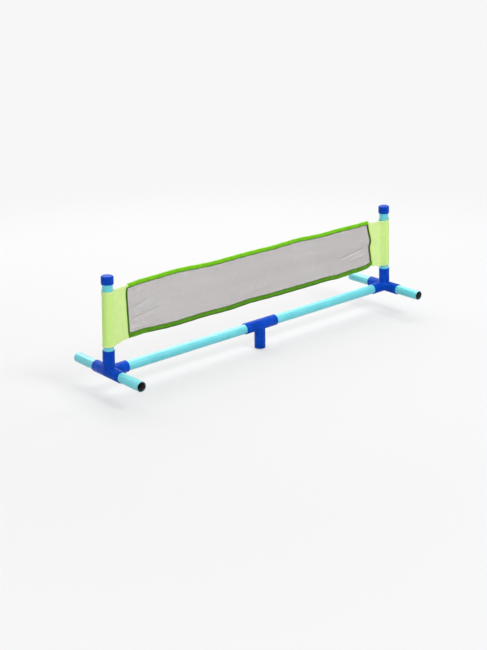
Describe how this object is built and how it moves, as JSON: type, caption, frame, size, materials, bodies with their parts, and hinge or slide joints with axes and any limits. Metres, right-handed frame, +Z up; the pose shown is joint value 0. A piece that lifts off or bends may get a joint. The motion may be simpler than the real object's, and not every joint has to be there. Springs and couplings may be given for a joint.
{
  "type": "table tennis net and post set",
  "caption": "Low table tennis net between capped posts that stand in moulded tube connectors joined by a cross rail, with open tube ends where a tube-frame table carries on.",
  "frame": {"origin": "middle of the cross rail's axis, inside the centre tee; the side rails' axes lie at the same height", "axes": "+X along the net from the left post to the right post, +Y across the net from front to rear, +Z up"},
  "size_m": [0.773, 0.203, 0.2353],
  "materials": {
    "blue_plastic": "glossy moulded royal blue plastic",
    "aqua_tube": "semi-gloss light aqua coating on thin steel tube",
    "lime_cloth": "pale lime woven polyester",
    "green_tape": "bright green folded binding tape",
    "dark_green_tape": "darker green folded binding tape",
    "binding_tape": "dark green narrow binding tape",
    "net_mesh": "fine charcoal see-through mesh"
  },
  "bodies": {
    "frame": {"left_connector": "blue_plastic", "right_connector": "blue_plastic", "centre_tee": "blue_plastic", "left_cross_rail": "aqua_tube", "right_cross_rail": "aqua_tube"},
    "net": {"net_mesh": "net_mesh", "top_tape": "green_tape", "bottom_tape": "dark_green_tape", "left_sleeve": "lime_cloth", "right_sleeve": "lime_cloth", "left_edge_binding": "binding_tape", "right_edge_binding": "binding_tape"},
    "left_post": {"left_post": "aqua_tube"},
    "right_post": {"right_post": "aqua_tube"},
    "left_cap": {"left_cap": "blue_plastic"},
    "right_cap": {"right_cap": "blue_plastic"},
    "left_front_rail": {"left_front_rail": "aqua_tube"},
    "left_rear_rail": {"left_rear_rail": "aqua_tube"},
    "right_front_rail": {"right_front_rail": "aqua_tube"},
    "right_rear_rail": {"right_rear_rail": "aqua_tube"}
  },
  "joints": [
    {"name": "net_lift", "type": "slide", "parent": "frame", "child": "net", "axis": [0, 0, 1], "range_m": [-0.007, 0.01]},
    {"name": "left_post_pull", "type": "slide", "parent": "frame", "child": "left_post", "axis": [0.0436, 0, 0.999], "range_m": [0, 0.165]},
    {"name": "right_post_pull", "type": "slide", "parent": "frame", "child": "right_post", "axis": [-0.0436, 0, 0.999], "range_m": [0, 0.165]},
    {"name": "left_cap_pull", "type": "slide", "parent": "left_post", "child": "left_cap", "axis": [0.0436, 0, 0.999], "range_m": [0, 0.02]},
    {"name": "right_cap_pull", "type": "slide", "parent": "right_post", "child": "right_cap", "axis": [-0.0436, 0, 0.999], "range_m": [0, 0.02]},
    {"name": "left_front_pull", "type": "slide", "parent": "frame", "child": "left_front_rail", "axis": [0, -1, 0], "range_m": [0, 0.035]},
    {"name": "left_rear_pull", "type": "slide", "parent": "frame", "child": "left_rear_rail", "axis": [0, 1, 0], "range_m": [0, 0.035]},
    {"name": "right_front_pull", "type": "slide", "parent": "frame", "child": "right_front_rail", "axis": [0, -1, 0], "range_m": [0, 0.035]},
    {"name": "right_rear_pull", "type": "slide", "parent": "frame", "child": "right_rear_rail", "axis": [0, 1, 0], "range_m": [0, 0.035]}
  ]
}
